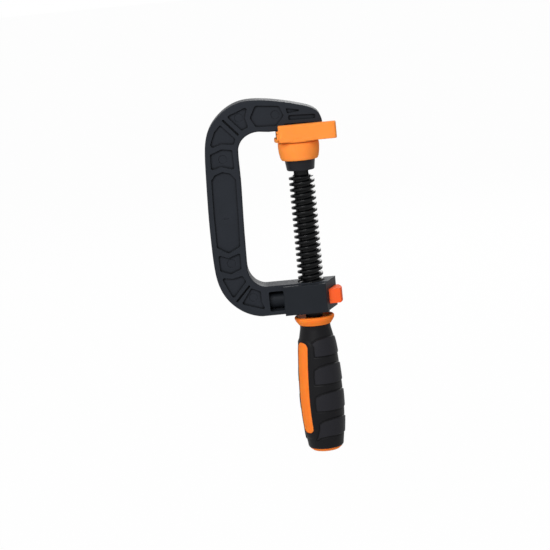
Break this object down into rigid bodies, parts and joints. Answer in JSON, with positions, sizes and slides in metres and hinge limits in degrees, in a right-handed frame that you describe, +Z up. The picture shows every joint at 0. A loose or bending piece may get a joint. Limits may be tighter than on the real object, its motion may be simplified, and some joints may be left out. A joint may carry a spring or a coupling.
{
  "type": "quick release c clamp",
  "caption": "C-frame screw clamp with a moulded frame, swivel pad, coarse screw, quick-release button and screwdriver-style handle.",
  "frame": {"origin": "centre of the fixed jaw's face, on the screw axis", "axes": "+Z up along the screw towards the fixed jaw, +X away from the spine towards the release button, -Y the side the picture shows"},
  "size_m": [0.1132, 0.04, 0.3066],
  "materials": {
    "frame_black": "fine texture",
    "screw_black": "gloss",
    "pad_orange": "satin",
    "button_orange": "satin",
    "handle_orange": "satin",
    "grip_black": "matte",
    "steel": "machined",
    "zinc": "cast",
    "screw_zinc": "black zinc"
  },
  "bodies": {
    "frame": {"c_frame": "frame_black", "anvil_pad": "pad_orange", "cover_front": "frame_black", "cover_rear": "frame_black", "cover_screws_long": "screw_zinc", "cover_screws_short": "screw_zinc", "spring_barrel": "screw_black", "return_spring": "steel"},
    "release": {"release_yoke": "frame_black", "release_button": "button_orange", "half_nut": "zinc", "nut_pins": "steel", "spring_guide": "steel"},
    "pin": {"ball_pin": "steel", "thrust_disc": "steel"},
    "screw": {"clamp_screw": "screw_black", "core_rod": "steel", "neck_pins": "steel", "handle_core": "handle_orange", "handle_grip": "grip_black", "butt_cap": "handle_orange"},
    "pad": {"pad_body": "screw_black", "pad_cap": "pad_orange", "pad_ring": "steel"}
  },
  "joints": [
    {"name": "screw_travel", "type": "slide", "parent": "frame", "child": "pin", "axis": [0, 0, 1], "range_m": [-0.095, 0]},
    {"name": "screw_turn", "type": "hinge", "parent": "pin", "child": "screw", "pos_m": [0, 0, -0.06], "axis": [0, 0, 1], "range_deg": [-6841, 0]},
    {"name": "pad_swivel", "type": "hinge", "parent": "pin", "child": "pad", "pos_m": [0, 0, -0.0116], "axis": [0, 0, 1], "continuous": true},
    {"name": "button_press", "type": "slide", "parent": "frame", "child": "release", "axis": [-1, 0, 0], "range_m": [0, 0.0042], "stiffness_N_per_m": 1200, "springref_m": -0.006, "deforming": ["return_spring"]}
  ],
  "couplings": [
    {"joint": "screw_turn", "follows": "screw_travel", "rad_per_m": 1256.6}
  ]
}
